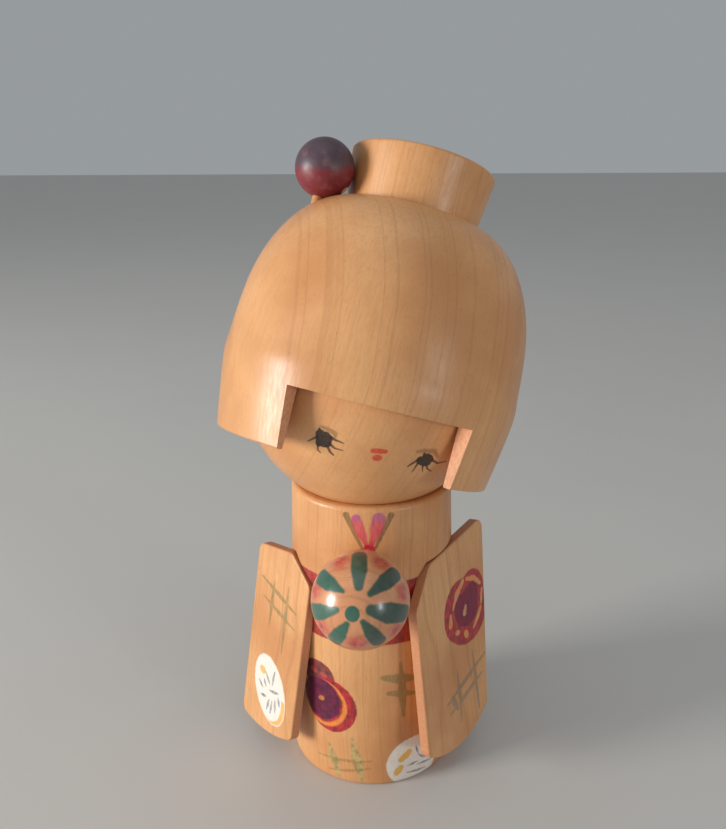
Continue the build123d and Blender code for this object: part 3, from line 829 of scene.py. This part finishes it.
give("body", body_material())
give("sleeve_right", sleeve_material("sleeve_right_painted", -1, RIGHT_TURN, right_decoration, 140.0))
give("sleeve_left", sleeve_material("sleeve_left_painted", 1, LEFT_TURN, left_decoration, 260.0))
give("hand_ball", ball_material())
give("face_ball", face_material())
give("hair_cap", hair_material())
give("bun", lacquered("bun_wood", pith=(-66.0, 6.0), figure=0.8, **HEAD_WOOD))
give("hair_bead", bead_material())
give("bead_peg", lacquered("peg_wood", pith=(3.0, 2.0), figure=0.7, **HEAD_WOOD))
give("ball_dowel", lacquered("dowel_wood", pith=(2.0, 3.0), figure=0.7))
give("base_plug", lacquered("plug_wood", pith=(-3.0, 4.0), smooth=0.5, rough=0.62))
pin_steel = steel_material("pin_steel", 178, 0.3)
for part in ("body_cotter", "body_washer", "head_cotter", "head_washer"):
    give(part, pin_steel)
give("neck_spring", steel_material("spring_steel", 160, 0.26))

# ---------------------------------------------------------------------------------------------
# Stage, light and camera
# ---------------------------------------------------------------------------------------------


def floor():
    """A plain pale floor at the doll's base."""
    half = 4.0  # metres from the middle to an edge
    mesh = bpy.data.meshes.new("floor")
    corners = [(x * half, y * half, 0.0) for x, y in ((-1, -1), (1, -1), (1, 1), (-1, 1))]
    mesh.from_pydata(corners, [], [(0, 1, 2, 3)])
    plane = bpy.data.objects.new("floor", mesh)
    bpy.context.scene.collection.objects.link(plane)
    graph = Graph("floor_paper")
    soft = graph.noise(graph.mm, 0.01, 3.0, 0.5)
    tooth = graph.noise(graph.mm, 0.8, 2.0, 0.5)
    colour = graph.mix(soft, FLOOR_WARM, FLOOR_COOL)
    mesh.materials.append(graph.finish(colour, 0.8, graph.bump(tooth, 0.05, 0.2)))


def area_light(name, place, target, width, height, power, colour):
    data = bpy.data.lights.new(name, "AREA")
    data.shape, data.size, data.size_y = "RECTANGLE", width, height
    data.energy, data.color = power, colour
    light = bpy.data.objects.new(name, data)
    place, target = Vector(place), Vector(target)
    light.location = place
    light.rotation_euler = (target - place).to_track_quat("-Z", "Y").to_euler()
    bpy.context.scene.collection.objects.link(light)


def from_side(azimuth, height, distance):
    """A place at an azimuth in degrees from the front, positive to the viewer's left."""
    azimuth = math.radians(azimuth)
    return -distance * math.sin(azimuth), -distance * math.cos(azimuth), height


SENSOR_WIDTH = 36.0


def camera(place, yaw, pitch, roll, lens, shift):
    """Looks along +Y turned by yaw to the right and pitch down, then rolled. Angles in degrees."""
    yaw, pitch, roll = (math.radians(a) for a in (yaw, pitch, roll))
    ahead = Vector((math.sin(yaw) * math.cos(pitch), math.cos(yaw) * math.cos(pitch),
                    -math.sin(pitch)))
    level = Vector((math.cos(yaw), -math.sin(yaw), 0.0))
    upright = level.cross(ahead)
    right = math.cos(roll) * level + math.sin(roll) * upright
    up = -math.sin(roll) * level + math.cos(roll) * upright
    data = bpy.data.cameras.new("camera")
    data.sensor_fit, data.sensor_width, data.lens = "HORIZONTAL", SENSOR_WIDTH, lens
    data.shift_x, data.shift_y = shift
    data.clip_start, data.clip_end = 0.01, 20.0
    view = bpy.data.objects.new("camera", data)
    bpy.context.scene.collection.objects.link(view)
    turn = Matrix((right, up, -ahead)).transposed().to_4x4()
    view.matrix_world = Matrix.Translation(Vector(place)) @ turn
    bpy.context.scene.camera = view


floor()

CHEST = (0.0, 0.0, 0.10)
area_light("window", from_side(66, 0.26, 1.2), CHEST, 0.34, 0.4, 14.5, (1.0, 0.97, 0.93))
area_light("far_window", from_side(-50, 0.22, 1.2), CHEST, 0.16, 0.26, 2.2, (0.96, 0.98, 1.0))
area_light("ceiling", (0.0, -0.2, 1.2), CHEST, 1.0, 1.0, 1.6, (1.0, 0.99, 0.97))

world = bpy.data.worlds.new("studio")
world.use_nodes = True
world.node_tree.nodes["Background"].inputs["Color"].default_value = SKY
world.node_tree.nodes["Background"].inputs["Strength"].default_value = 0.5
bpy.context.scene.world = world
bpy.context.scene.view_settings.view_transform = "Standard"

camera((0.0193, -0.2311, 0.1909), yaw=-5.12, pitch=19.57, roll=-0.48, lens=41.27,
       shift=(-0.0045, 0.0190))
